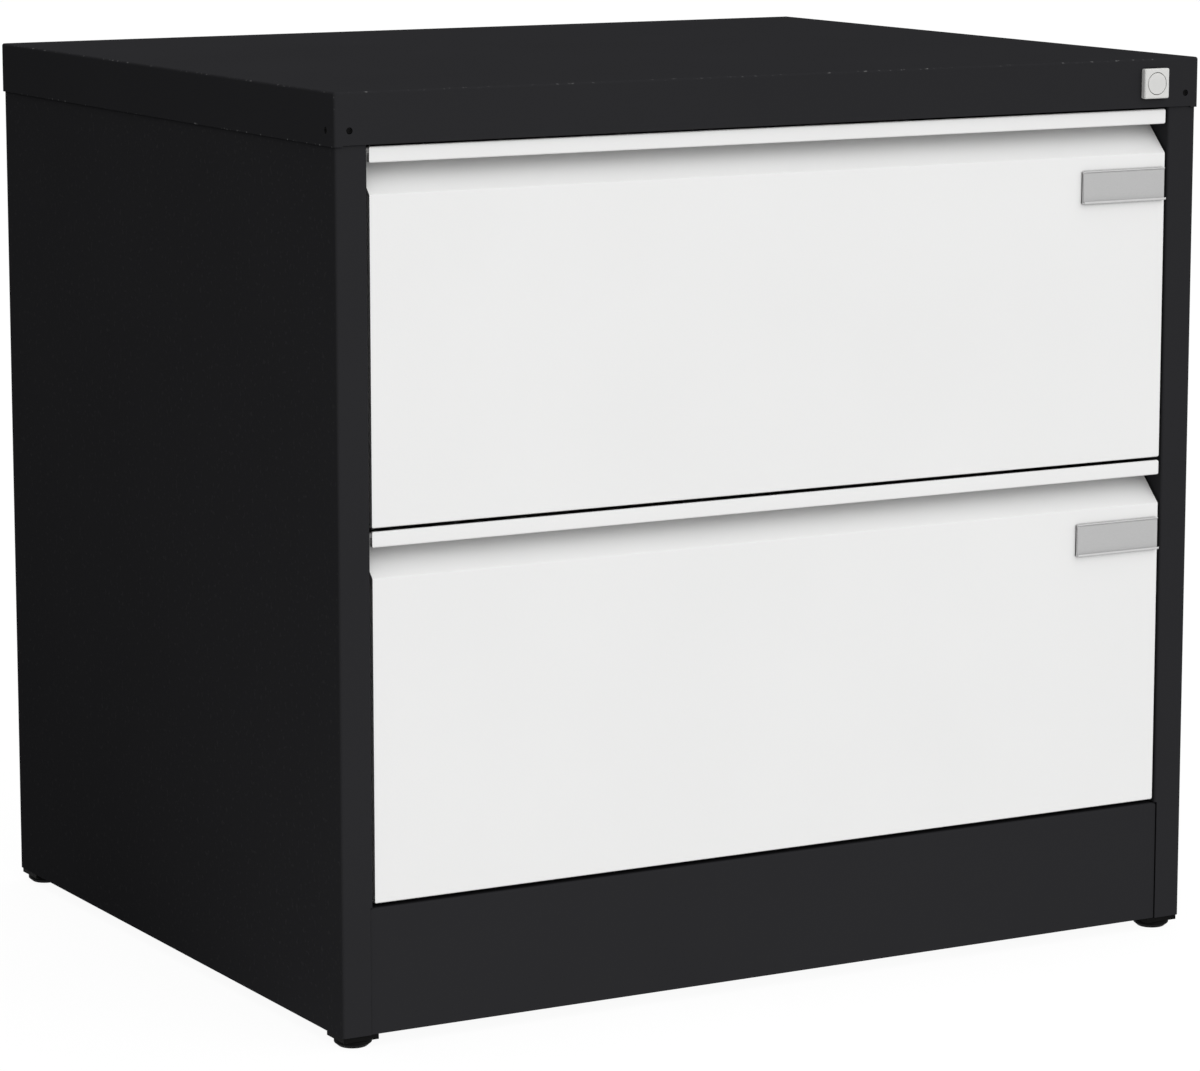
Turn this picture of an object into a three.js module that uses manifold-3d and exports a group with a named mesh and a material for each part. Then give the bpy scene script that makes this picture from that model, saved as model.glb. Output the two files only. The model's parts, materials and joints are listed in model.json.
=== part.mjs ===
// Wide two-drawer steel filing cabinet. Millimetres, +Z up, the front faces -Y, X runs along the width.
// The origin lies on the floor under the middle of the carcass.

import * as THREE from 'three';
import { RoundedBoxGeometry } from 'three/addons/geometries/RoundedBoxGeometry.js';
import { mergeVertices } from 'three/addons/utils/BufferGeometryUtils.js';
import Module from 'manifold-3d';

const wasm = await Module();
wasm.setup();

// Overall size
const WIDTH = 765;
const DEPTH = 622;
const HEIGHT = 711;

// Sheet metal and gaps
const SHEET = 1;
const BEND = 1; // inside radius of a fold
const BEND_STEPS = 3;
const AIR = 0.3; // between pieces that are fixed to each other
const RUN = 0.4; // between pieces that move past each other
const CUT_ROOM = 2; // round a piece that moves through a cut

// Sides of the polygons that stand for circles
const ROUND = 32;
const DISC_ROUND = 24;
const HOLE_ROUND = 20;
const PIN_ROUND = 16;
const HEXAGON = 6;

const SIDES = { left: -1, right: 1 };

// Carcass
const FLOOR_GAP = 10; // floor to the lower edge of the panels
const CAP_FLANGE = 38.7;
const CAP_OVER_SIDE = 1.25; // the cap reaches this far past the side panels
const CAP_OVER_FRONT = 1.65;
const CAP_CORNER_DROP = 1; // the flange reaches lower round the front corners
const CAP_CORNER_WIDTH = 7;
const CAP_HOLE = 5;
const CAP_HOLE_DOWN = 28.1;
const CAP_HOLE_IN_X = 12.3;
const CAP_HOLE_IN_Y = 13.9;
const BODY_X = WIDTH / 2 - CAP_OVER_SIDE; // outside of the side panels
const BODY_FRONT = -DEPTH / 2 + CAP_OVER_FRONT;
const BODY_BACK = -BODY_FRONT;
const PANEL_TOP = HEIGHT - 2 * SHEET;
const POST_WIDTH = 25.9;
const POST_X = BODY_X - POST_WIDTH; // inner face of each post
const POST_LIP = 8;
const REAR_FLANGE = 18;
const BACK_FLANGE = 12;
const PLINTH_LAP = 1.85; // the plinth reaches this far into each post
const PLINTH_X = POST_X + PLINTH_LAP;
const PLINTH_TOP = 106.4;
const BASE_FLANGE = 25;
const RAIL_DOWN = 5; // top of the cap to the front top rail
const RAIL_HEIGHT = 32;
const RAIL_DEPTH = 24;
const RAIL_TOP = HEIGHT - RAIL_DOWN;
const RAIL_BOTTOM = RAIL_TOP - RAIL_HEIGHT;

// Feet
const FOOT_INSET = 15.85; // foot centre to the outside of the panels
const FOOT_BLOCK = 29;
const FOOT_DISC_HEIGHT = 6;
const FOOT_DISC_RADIUS = 14.3;
const FOOT_SOLE_RADIUS = 11;
const FOOT_STEM_RADIUS = 4;
const FOOT_STEM_TOP = 34;

// Drawers; heights inside a drawer are counted from the lower edge of its front
const FACE_SETBACK = 1.15; // faces of the drawers and plinth behind the front of the posts
const SIDE_GAP = 2.15;
const PLINTH_GAP = 3.2;
const DRAWER_GAP = 2.4;
const CAP_GAP = 1.5;
const FACE_Y = BODY_FRONT + FACE_SETBACK;
const FRONT_X = POST_X - SIDE_GAP;
const LOWER_BOTTOM = PLINTH_TOP + PLINTH_GAP;
const FRONT_HEIGHT = (HEIGHT - CAP_FLANGE - CAP_GAP - DRAWER_GAP - LOWER_BOTTOM) / 2;
const DRAWERS = { lower: LOWER_BOTTOM, upper: LOWER_BOTTOM + FRONT_HEIGHT + DRAWER_GAP };
const LIP_HEIGHT = 12;
const HANDLE_HEIGHT = 35;
const FOLD_Z = FRONT_HEIGHT - HANDLE_HEIGHT; // where the face bends back into the handle recess
const RECESS = 25;
const LIP_FALL = 4.5; // the top of the lip falls to the back, out of sight
const HEM_GAP = 2;
const HEM_RISE = 6;
const FRONT_RETURN = RECESS - SHEET;
const FRONT_BEND = 0.4; // inside radius of the folds of the front, which are crisper than the carcass's
const FRONT_CORNER = 1.6;
const CHEEK_IN = 3; // ends of the front to the cheeks that close it
const LINER_DEPTH = FRONT_RETURN + SHEET / 2; // front of the liner behind the face
const LINER_Y = FACE_Y + LINER_DEPTH;
const LINER_CLEAR = 3.4; // under the slope of the handle recess
const LINER_RETURN = 8.5;
const LINER_TOP = FOLD_Z + LINER_DEPTH - LINER_CLEAR;

// Telescopic slides, 45.7 mm high; u counts from the cabinet side towards the drawer
const SLIDE_SETBACK = 33.35; // front of the posts to the front of the slides
const SLIDE_REAR_ROOM = 35.35; // back of the slides to the back of the carcass
const SLIDE_FRONT = BODY_FRONT + SLIDE_SETBACK;
const SLIDE_BACK = BODY_BACK - SLIDE_REAR_ROOM;
const SLIDE_Z = 110;
const SLIDE_WIDTH = 12.7;
const SLIDE_BEND = 0.8;
const SLIDE_X = POST_X - AIR;
const CAGE_LENGTH = 240;
const CAGE_SHEET = 0.7;
const BALLS_PER_ROW = 3;
const MEMBERS = {
  outer: { web: 0, tip: 10.5, half: 22.85, sheet: 1.5 },
  middle: { web: 3.2, tip: 11.3, half: 17.2, sheet: 1.3 },
  inner: { web: SLIDE_WIDTH, tip: 6, half: 11.4, sheet: 1.3 },
};
const CAGES = {
  outer: { web: 2.05, tip: 9.5, row: 19.28, ball: 1.8, ballAt: 6 },
  inner: { web: 4.85, tip: 10.5, row: 13.65, ball: 1.9, ballAt: 8.4 },
};

// Rear uprights, which carry the back ends of the slides
const UPRIGHT_WIDTH = 34;
const UPRIGHT_FOOT = 16;
const UPRIGHT_IN = 12; // back of the slides to the back of the upright
const UPRIGHT_BACK = SLIDE_BACK - UPRIGHT_IN;
const UPRIGHT_FRONT = UPRIGHT_BACK - UPRIGHT_WIDTH;

// Trays inside the drawers
const TRAY_BOTTOM = 8;
const TRAY_DOWN = 33.4; // top of the front to the rim of the tray
const TRAY_SHORT = 8; // the tray ends this far before the slides do
const TRAY_TOP = FRONT_HEIGHT - TRAY_DOWN;
const TRAY_X = SLIDE_X - SLIDE_WIDTH - AIR;
const TRAY_FRONT = LINER_Y + SHEET + AIR;
const TRAY_BACK = SLIDE_BACK - TRAY_SHORT;
const HEM_WIDTH = 4;
const HEM_DROP = 8;
const CENTRE_RAIL_WIDTH = 16.1; // leaves 330 mm on each side for a row of A4 hanging files
const CENTRE_RAIL_HEIGHT = 20;
const CENTRE_RAIL_FOOT = 4;

// Card holders
const HOLDER_LENGTH = 80;
const HOLDER_HEIGHT = 25.6;
const HOLDER_DOWN = 46.5;
const HOLDER_IN = 0.6;
const HOLDER_TOP = FRONT_HEIGHT - HOLDER_DOWN;
const HOLDER_RIGHT = FRONT_X - HOLDER_IN;
const HOLDER_PLATE = 1.6;
const HOLDER_WALL = 1.2;
const HOLDER_TOP_LIP = 3.6;
const HOLDER_TOP_DROP = 2.2;
const HOLDER_TOP_EDGE = 0.8;
const HOLDER_BOTTOM_LIP = 4.6;
const HOLDER_BOTTOM_RISE = 3;
const CARD_THICKNESS = 0.5;
const CARD_IN = 1;

// Bars that hold the drawers shut, inside the posts
const BAR_THICKNESS = 2;
const BAR_DEPTH = 15;
const BAR_SIDE_GAP = 1.15; // to the inside of the post
const BAR_FRONT_GAP = 0.6; // to the back of the liners
const BAR_LIP_GAP = 5.75; // to the back of the post
const BAR_TAIL = 10;
const BAR_X = POST_X + SHEET + BAR_SIDE_GAP;
const BAR_FRONT = LINER_Y + SHEET + BAR_FRONT_GAP;
const BAR_BACK = BAR_FRONT + BAR_DEPTH;
const POST_BACK = BAR_BACK + BAR_LIP_GAP;
const CATCH_DOWN = 56; // rim of the tray to its catches
const CATCH_Z = TRAY_TOP - CATCH_DOWN;
const CATCH_REACH = 6.95;
const CATCH_PLAY = 3.5; // a shut drawer can move this far against a raised hook
const CATCH_THICKNESS = 2;
const HOOK_CLEAR = 3.95; // tip of a hook to the tray
const HOOK_HEIGHT = 10;
const HOOK_GAP = 4; // a resting hook lies this far under its catch
const HOOK_TOP = CATCH_Z - HOOK_GAP;
const GUIDE_HEIGHT = 20;
const GUIDE_WALL = 3;
const GUIDE_UNDER_HOOK = 15.6;
const GUIDE_OVER_HOOK = 52.6;
const GUIDES = {
  lower: DRAWERS.lower + HOOK_TOP - HOOK_HEIGHT - GUIDE_UNDER_HOOK - GUIDE_HEIGHT,
  upper: DRAWERS.upper + HOOK_TOP + GUIDE_OVER_HOOK,
};

// Lock
const LOCK_IN = 43.2; // side of the cap to the lock's axis
const LOCK_DOWN = 19.5;
const LOCK_PROUD = 4.6;
const LOCK_SIDE = 23.6;
const LOCK_BEVEL = 1.3;
const LOCK_X = WIDTH / 2 - LOCK_IN;
const LOCK_Z = HEIGHT - LOCK_DOWN;
const LOCK_FRONT = -DEPTH / 2 - LOCK_PROUD;
const BARREL_RADIUS = 8.3;
const SHANK_WALL = 1.3;
const SHANK_LENGTH = 9;
const SHANK_RADIUS = BARREL_RADIUS + RUN + SHANK_WALL;
const NUT_RIM = 4;
const NUT_THICKNESS = 4;
const CAM_THICKNESS = 2.5;
const CAM_GAP = 6; // cam to the lock bar
const CAM_RIM = 1;
const CRANK = 8.5; // barrel axis to crank pin
const PIN_RADIUS = 2;
const PIN_PROUD = 1;
const BARREL_BACK = BAR_FRONT - CAM_GAP - CAM_THICKNESS;
const BAR_LIFT = 2 * CRANK * Math.SQRT1_2;
const LUG_REACH = 8; // crank pin to the free end of the lug
const LUG_DROP = 6.5; // crank pin to the lower edge of the lug
const LUG_RISE = 0.5; // barrel axis to the upper edge of the lug
const LUG_NOTCH = 16;
const BAR_TOP = LOCK_Z + LUG_RISE;

const FINISH = {
  black: { color: 0x2a2a2b, roughness: 0.5, metalness: 0 },
  white: { color: 0xebebea, roughness: 0.45, metalness: 0 },
  zinc: { color: 0xb4b6b8, roughness: 0.35, metalness: 1 },
  grey: { color: 0xcdcdca, roughness: 0.5, metalness: 0 },
  holder: { color: 0xbdbdbd, roughness: 0.5, metalness: 0 },
  card: { color: 0xb9b9b9, roughness: 0.9, metalness: 0 },
  foot: { color: 0x121212, roughness: 0.6, metalness: 0 },
};

// Axes of a flat outline, named after the axis that it is pulled along:
// x takes points as (Y, Z), y takes (X, Z) and z takes (X, Y).
const UNIT = {
  x: new THREE.Vector3(1, 0, 0),
  y: new THREE.Vector3(0, 1, 0),
  z: new THREE.Vector3(0, 0, 1),
};
const FRAMES = {
  x: new THREE.Matrix4().makeBasis(UNIT.y, UNIT.z, UNIT.x),
  y: new THREE.Matrix4().makeBasis(UNIT.x, UNIT.z, UNIT.y.clone().negate()),
  z: new THREE.Matrix4(),
};

function pull(outline, axis, from, to) {
  const shape = new THREE.Shape(outline.map(([u, v]) => new THREE.Vector2(u, v)));
  const geometry = new THREE.ExtrudeGeometry(shape, { depth: to - from, bevelEnabled: false });
  geometry.applyMatrix4(FRAMES[axis]);
  const start = UNIT[axis].clone().multiplyScalar(axis === 'y' ? to : from);
  return geometry.translate(start.x, start.y, start.z);
}

function block([x0, x1], [y0, y1], [z0, z1]) {
  const geometry = new THREE.BoxGeometry(x1 - x0, y1 - y0, z1 - z0);
  return geometry.translate((x0 + x1) / 2, (y0 + y1) / 2, (z0 + z1) / 2);
}

function disc(u, v, radius, segments = ROUND) {
  return Array.from({ length: segments }, (_, i) => {
    const angle = (2 * Math.PI * i) / segments;
    return [u + radius * Math.cos(angle), v + radius * Math.sin(angle)];
  });
}

// Outline of a bent sheet. The path is the face on the left of the walk; the sheet lies to its right.
function folded(path, sheet = SHEET, bend = BEND) {
  const points = path.map(([u, v]) => new THREE.Vector2(u, v));
  const heading = (i) => points[i + 1].clone().sub(points[i]).normalize();
  const toRight = (d) => new THREE.Vector2(d.y, -d.x);
  const left = [];
  const right = [];
  points.forEach((point, i) => {
    if (i === 0 || i === points.length - 1) {
      const across = toRight(heading(Math.max(i - 1, 0))).multiplyScalar(sheet);
      left.push(point);
      right.push(point.clone().add(across));
      return;
    }
    const d0 = heading(i - 1);
    const d1 = heading(i);
    const turn = Math.atan2(d0.cross(d1), d0.dot(d1));
    const leftRadius = turn > 0 ? bend : bend + sheet;
    const rightRadius = turn > 0 ? bend + sheet : bend;
    const start = point.clone().addScaledVector(d0, -leftRadius * Math.tan(Math.abs(turn) / 2));
    const outward = toRight(d0).multiplyScalar(Math.sign(turn));
    const centre = start.clone().addScaledVector(outward, -leftRadius);
    for (let k = 0; k <= BEND_STEPS; k += 1) {
      const spoke = outward.clone().rotateAround(new THREE.Vector2(), (turn * k) / BEND_STEPS);
      left.push(centre.clone().addScaledVector(spoke, leftRadius));
      right.push(centre.clone().addScaledVector(spoke, rightRadius));
    }
  });
  return [...left, ...right.reverse()].map((p) => [p.x, p.y]);
}

// The same path or span on the left or right half of the cabinet
function onSide(side, path) {
  return side > 0 ? path : path.map(([u, v]) => [-u, v]).reverse();
}

function spanOn(side, near, far) {
  return side > 0 ? [near, far] : [-far, -near];
}

function toSolid(geometry) {
  const bare = new THREE.BufferGeometry();
  bare.setAttribute('position', geometry.getAttribute('position'));
  bare.setIndex(geometry.index);
  const merged = mergeVertices(bare);
  return new wasm.Manifold(new wasm.Mesh({
    numProp: 3,
    vertProperties: new Float32Array(merged.getAttribute('position').array),
    triVerts: new Uint32Array(merged.index.array),
  }));
}

function toGeometry(solid) {
  const { vertProperties, triVerts } = solid.getMesh();
  const geometry = new THREE.BufferGeometry();
  geometry.setAttribute('position', new THREE.BufferAttribute(vertProperties, 3));
  geometry.setIndex(new THREE.BufferAttribute(triVerts, 1));
  return geometry;
}

function cut(base, ...tools) {
  return toGeometry(tools.reduce((body, tool) => body.subtract(toSolid(tool)), toSolid(base)));
}

function join(base, ...others) {
  return toGeometry(others.reduce((body, other) => body.add(toSolid(other)), toSolid(base)));
}

function add(parent, name, geometry, finish) {
  const mesh = new THREE.Mesh(geometry, new THREE.MeshStandardMaterial(finish));
  mesh.name = name;
  parent.add(mesh);
}

function topCap() {
  const tall = 3 * CAP_FLANGE;
  const outer = new RoundedBoxGeometry(WIDTH, DEPTH, tall, BEND_STEPS, BEND + SHEET);
  const hollow = new RoundedBoxGeometry(
    WIDTH - 2 * SHEET, DEPTH - 2 * SHEET, tall - 2 * SHEET, BEND_STEPS, BEND);
  for (const shell of [outer, hollow]) shell.translate(0, 0, HEIGHT - tall / 2);
  const edge = HEIGHT - CAP_FLANGE;
  const lowest = edge - CAP_CORNER_DROP;
  const relief = WIDTH / 2 - CAP_CORNER_WIDTH;
  const holeZ = HEIGHT - CAP_HOLE_DOWN;
  const holeX = WIDTH / 2 - CAP_HOLE_IN_X;
  const holeY = -DEPTH / 2 + CAP_HOLE_IN_Y;
  const frontHoles = Object.values(SIDES).map((side) =>
    pull(disc(side * holeX, holeZ, CAP_HOLE / 2, HOLE_ROUND), 'y', -DEPTH, BODY_FRONT));
  const sideHoles = pull(disc(holeY, holeZ, CAP_HOLE / 2, HOLE_ROUND), 'x', -WIDTH, WIDTH);
  return cut(
    outer,
    hollow,
    block([-WIDTH, WIDTH], [-DEPTH, DEPTH], [-HEIGHT, lowest]),
    block([-relief, relief], [-DEPTH, BODY_FRONT], [lowest - SHEET, edge]),
    ...frontHoles,
    sideHoles,
    pull(disc(LOCK_X, LOCK_Z, SHANK_RADIUS + AIR), 'y', -DEPTH, BODY_FRONT),
  );
}

function hookSlots(side) {
  return Object.values(DRAWERS).map((bottom) => {
    const low = bottom + HOOK_TOP - HOOK_HEIGHT;
    return block(
      spanOn(side, POST_X - SHEET, POST_X + 2 * SHEET),
      [BAR_FRONT - CUT_ROOM, BAR_FRONT + BAR_THICKNESS + CUT_ROOM],
      [low - CUT_ROOM, low + HOOK_HEIGHT + BAR_LIFT + CUT_ROOM],
    );
  });
}

function sidePanel(side) {
  const sheet = pull(folded(onSide(side, [
    [BODY_X - REAR_FLANGE, BODY_BACK],
    [BODY_X, BODY_BACK],
    [BODY_X, BODY_FRONT],
    [POST_X, BODY_FRONT],
    [POST_X, POST_BACK],
    [POST_X + POST_LIP, POST_BACK],
  ])), 'z', FLOOR_GAP, PANEL_TOP);
  const notchTop = PLINTH_TOP + RUN;
  const plinthNotch = block(
    spanOn(side, POST_X - SHEET, PLINTH_X + RUN), [-DEPTH, POST_BACK + SHEET], [0, notchTop]);
  const lipNotch = block(
    spanOn(side, POST_X - SHEET, POST_X + POST_LIP + SHEET),
    [BODY_FRONT + 2 * SHEET, POST_BACK + SHEET],
    [0, notchTop],
  );
  const lugNotch = block(
    spanOn(side, POST_X - SHEET, POST_X + 2 * SHEET),
    [BAR_FRONT - CUT_ROOM, BAR_FRONT + BAR_THICKNESS + CUT_ROOM],
    [BAR_TOP - LUG_NOTCH, HEIGHT],
  );
  return cut(sheet, plinthNotch, lipNotch, lugNotch, ...hookSlots(side));
}

function backPanel() {
  const y = BODY_BACK - SHEET - AIR;
  const half = BODY_X - 2 * SHEET;
  const path = [[y - BACK_FLANGE, PANEL_TOP - SHEET], [y, PANEL_TOP - SHEET], [y, FLOOR_GAP]];
  return pull(folded(path), 'x', -half, half);
}

function footPlaces() {
  const x = BODY_X - FOOT_INSET;
  const y = BODY_BACK - FOOT_INSET;
  return [['front_left', -x, -y], ['front_right', x, -y], ['rear_left', -x, y], ['rear_right', x, y]];
}

function basePan() {
  const half = BODY_X - SHEET - AIR;
  const front = FACE_Y + SHEET + AIR;
  const back = BODY_BACK - 2 * SHEET - 2 * AIR;
  const top = FLOOR_GAP + BASE_FLANGE;
  const holes = footPlaces().map(([, x, y]) =>
    pull(disc(x, y, FOOT_STEM_RADIUS + 2 * RUN, HOLE_ROUND), 'z', 0, top));
  return cut(
    block([-half, half], [front, back], [FLOOR_GAP, top]),
    block([SHEET - half, half - SHEET], [front + SHEET, back - SHEET], [FLOOR_GAP + SHEET, HEIGHT]),
    ...holes,
  );
}

function plinth() {
  const path = [[FACE_Y, FLOOR_GAP], [FACE_Y, PLINTH_TOP], [FACE_Y + RAIL_DEPTH, PLINTH_TOP]];
  return pull(folded(path), 'x', -PLINTH_X, PLINTH_X);
}

function rearUpright(side) {
  const seat = BODY_X - SHEET - AIR;
  const crown = POST_X + SHEET;
  const path = [
    [seat, UPRIGHT_BACK + UPRIGHT_FOOT],
    [seat, UPRIGHT_BACK],
    [crown, UPRIGHT_BACK],
    [crown, UPRIGHT_FRONT],
    [seat, UPRIGHT_FRONT],
    [seat, UPRIGHT_FRONT - UPRIGHT_FOOT],
  ];
  return pull(folded(onSide(side, path)), 'z', FLOOR_GAP + BASE_FLANGE + SHEET, PANEL_TOP - SHEET);
}

function frontTopRail() {
  const back = BODY_FRONT + RAIL_DEPTH;
  const half = POST_X - AIR;
  const channel = pull(folded([
    [back, RAIL_BOTTOM],
    [BODY_FRONT, RAIL_BOTTOM],
    [BODY_FRONT, RAIL_TOP],
    [back, RAIL_TOP],
  ]), 'x', -half, half);
  const lockHole = disc(LOCK_X, LOCK_Z, SHANK_RADIUS + AIR);
  return cut(channel, pull(lockHole, 'y', -DEPTH, BODY_FRONT + 2 * SHEET));
}

function footBlock(x, y) {
  const half = FOOT_BLOCK / 2;
  const span = [FOOT_DISC_HEIGHT, FLOOR_GAP];
  const bore = pull(disc(x, y, FOOT_STEM_RADIUS + RUN, HOLE_ROUND), 'z', 0, FLOOR_GAP + SHEET);
  return cut(block([x - half, x + half], [y - half, y + half], span), bore);
}

function levellingFoot(x, y) {
  const discTop = FOOT_DISC_HEIGHT - AIR;
  const profile = [
    [0, 0],
    [FOOT_SOLE_RADIUS, 0],
    [FOOT_DISC_RADIUS, FOOT_DISC_HEIGHT / 2],
    [FOOT_DISC_RADIUS, discTop],
    [FOOT_STEM_RADIUS, discTop],
    [FOOT_STEM_RADIUS, FOOT_STEM_TOP],
    [0, FOOT_STEM_TOP],
  ].map(([radius, z]) => new THREE.Vector2(radius, z));
  return new THREE.LatheGeometry(profile, DISC_ROUND).rotateX(Math.PI / 2).translate(x, y, 0);
}

function lockHousing() {
  const back = -DEPTH / 2;
  const half = LOCK_SIDE / 2;
  const rim = half - LOCK_BEVEL;
  const square = block(
    [LOCK_X - half, LOCK_X + half], [LOCK_FRONT + LOCK_BEVEL, back], [LOCK_Z - half, LOCK_Z + half]);
  const bevel = new THREE.CylinderGeometry(half * Math.SQRT2, rim * Math.SQRT2, LOCK_BEVEL, 4);
  bevel.rotateY(Math.PI / 4).translate(LOCK_X, LOCK_FRONT + LOCK_BEVEL / 2, LOCK_Z);
  const shank = pull(disc(LOCK_X, LOCK_Z, SHANK_RADIUS), 'y', back, back + SHANK_LENGTH);
  const bore = pull(disc(LOCK_X, LOCK_Z, BARREL_RADIUS + RUN), 'y', -DEPTH, 0);
  return cut(join(square, bevel, shank), bore);
}

function lockNut() {
  const front = BODY_FRONT + SHEET + AIR;
  const hexagon = disc(LOCK_X, LOCK_Z, SHANK_RADIUS + NUT_RIM, HEXAGON);
  const bore = disc(LOCK_X, LOCK_Z, SHANK_RADIUS + AIR);
  return cut(pull(hexagon, 'y', front, front + NUT_THICKNESS), pull(bore, 'y', -DEPTH, 0));
}

function lockBarrel() {
  return pull(disc(LOCK_X, LOCK_Z, BARREL_RADIUS), 'y', LOCK_FRONT, BARREL_BACK);
}

// At rest the crank pin points down to the right; a quarter turn brings it up to the right.
function crankPinPlace() {
  const reach = CRANK * Math.SQRT1_2;
  return [LOCK_X + reach, LOCK_Z - reach];
}

function lockCam() {
  const plateBack = BARREL_BACK + CAM_THICKNESS;
  const rim = disc(LOCK_X, LOCK_Z, CRANK + PIN_RADIUS + CAM_RIM, DISC_ROUND);
  const plate = pull(rim, 'y', BARREL_BACK, plateBack);
  const pinBack = BAR_FRONT + BAR_THICKNESS + PIN_PROUD;
  const pin = pull(disc(...crankPinPlace(), PIN_RADIUS, PIN_ROUND), 'y', plateBack - SHEET, pinBack);
  return join(plate, pin);
}

// A vertical strip inside a post with one hook per drawer, which reaches through the post's slot.
function hookedBar(side, top) {
  const across = spanOn(side, BAR_X, BAR_X + BAR_THICKNESS);
  const strip = block(across, [BAR_FRONT, BAR_BACK], [GUIDES.lower - BAR_TAIL, top]);
  const hooks = Object.values(DRAWERS).map((bottom) => {
    const hookTop = bottom + HOOK_TOP;
    return block(
      spanOn(side, TRAY_X + HOOK_CLEAR, BAR_X + BAR_THICKNESS),
      [BAR_FRONT, BAR_FRONT + BAR_THICKNESS],
      [hookTop - HOOK_HEIGHT, hookTop],
    );
  });
  return join(strip, ...hooks);
}

function lockBar() {
  const [pinX, pinZ] = crankPinPlace();
  const grip = PIN_RADIUS + RUN;
  const sway = CRANK * (1 - Math.SQRT1_2);
  const thick = [BAR_FRONT, BAR_FRONT + BAR_THICKNESS];
  const lug = block([pinX - LUG_REACH, BAR_X + BAR_THICKNESS], thick, [pinZ - LUG_DROP, BAR_TOP]);
  const slot = block([pinX - grip, pinX + sway + grip], [-DEPTH, 0], [pinZ - grip, pinZ + grip]);
  return cut(join(hookedBar(SIDES.right, BAR_TOP), lug), slot);
}

function barGuide(side, bottom) {
  const inner = POST_X + SHEET + AIR;
  const z = [bottom, bottom + GUIDE_HEIGHT];
  const body = block(
    spanOn(side, inner, BAR_X + BAR_THICKNESS + GUIDE_WALL),
    [BAR_FRONT - GUIDE_WALL, POST_BACK - SHEET - BEND],
    z,
  );
  const channel = block(
    spanOn(side, 0, BAR_X + BAR_THICKNESS + RUN),
    [BAR_FRONT - RUN, BAR_BACK + RUN],
    [bottom - CUT_ROOM, bottom + GUIDE_HEIGHT + CUT_ROOM],
  );
  return cut(body, channel);
}

function slideMember({ web, tip, half, sheet }, side) {
  const path = [
    [SLIDE_X - tip, SLIDE_Z + half],
    [SLIDE_X - web, SLIDE_Z + half],
    [SLIDE_X - web, SLIDE_Z - half],
    [SLIDE_X - tip, SLIDE_Z - half],
  ];
  const walk = tip > web ? path : path.reverse();
  return pull(folded(onSide(side, walk), sheet, SLIDE_BEND), 'y', SLIDE_FRONT, SLIDE_BACK);
}

function ballCage({ web, tip, row, ball, ballAt }, side) {
  const front = (SLIDE_FRONT + SLIDE_BACK - CAGE_LENGTH) / 2;
  const edge = row + CAGE_SHEET / 2;
  const strip = pull(folded(onSide(side, [
    [SLIDE_X - tip, SLIDE_Z + edge],
    [SLIDE_X - web, SLIDE_Z + edge],
    [SLIDE_X - web, SLIDE_Z - edge],
    [SLIDE_X - tip, SLIDE_Z - edge],
  ]), CAGE_SHEET, CAGE_SHEET), 'y', front, front + CAGE_LENGTH);
  const balls = [];
  for (let i = 0; i < BALLS_PER_ROW; i += 1) {
    const y = front + ((i + 0.5) * CAGE_LENGTH) / BALLS_PER_ROW;
    for (const z of [SLIDE_Z - row, SLIDE_Z + row]) {
      const sphere = new THREE.SphereGeometry(ball, 6, 4);
      balls.push(sphere.translate(side * (SLIDE_X - ballAt), y, z));
    }
  }
  return join(strip, ...balls);
}

// What rounding takes off an end corner of the front at height z, as an outline of (X, Z);
// up is 1 for a top corner and -1 for a bottom one
function cornerScrap(side, up, z) {
  const arc = Array.from({ length: BEND_STEPS + 1 }, (_, i) => {
    const angle = (Math.PI / 2) * (i / BEND_STEPS);
    return [
      side * (FRONT_X - FRONT_CORNER * (1 - Math.sin(angle))),
      z - up * FRONT_CORNER * (1 - Math.cos(angle)),
    ];
  });
  const beyond = z + up * CUT_ROOM;
  const outside = side * (FRONT_X + CUT_ROOM);
  const outline = [[arc[0][0], beyond], ...arc, [outside, arc[BEND_STEPS][1]], [outside, beyond]];
  return side * up > 0 ? outline : outline.reverse();
}

function drawerFront() {
  const at = (depth, z) => [FACE_Y + depth, z];
  const lipTop = FRONT_HEIGHT - SHEET;
  const lipBottom = FRONT_HEIGHT - LIP_HEIGHT;
  const hemBottom = lipBottom + SHEET;
  const skin = pull(folded([
    at(FRONT_RETURN, 0),
    at(0, 0),
    at(0, FOLD_Z),
    at(RECESS, FOLD_Z + RECESS),
    at(RECESS, lipTop - LIP_FALL),
    at(SHEET, lipTop),
    at(SHEET, hemBottom),
    at(SHEET + HEM_GAP, hemBottom),
    at(SHEET + HEM_GAP, hemBottom + HEM_RISE),
  ], SHEET, FRONT_BEND), 'x', -FRONT_X, FRONT_X);
  const half = SHEET / 2;
  const rise = FOLD_Z - half * Math.SQRT2;
  const cheek = [
    at(half + SHEET, half),
    at(half, half + SHEET),
    at(half, rise + half),
    at(FRONT_RETURN, rise + FRONT_RETURN),
    at(FRONT_RETURN, half),
  ];
  const cheekX = FRONT_X - CHEEK_IN;
  const cheeks = Object.values(SIDES).map((side) =>
    pull(cheek, 'x', ...spanOn(side, cheekX - SHEET, cheekX)));
  const corners = Object.values(SIDES).flatMap((side) => [
    pull(cornerScrap(side, 1, FRONT_HEIGHT), 'y', -DEPTH, 0),
    pull(cornerScrap(side, -1, lipBottom), 'y', -DEPTH, FACE_Y + RECESS / 2),
    pull(cornerScrap(side, -1, 0), 'y', -DEPTH, 0),
  ]);
  return cut(join(skin, ...cheeks), ...corners);
}

function drawerLiner() {
  const half = FRONT_X - AIR;
  const path = [[LINER_Y, SHEET + AIR], [LINER_Y, LINER_TOP], [LINER_Y + LINER_RETURN, LINER_TOP]];
  return pull(folded(path), 'x', -half, half);
}

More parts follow.
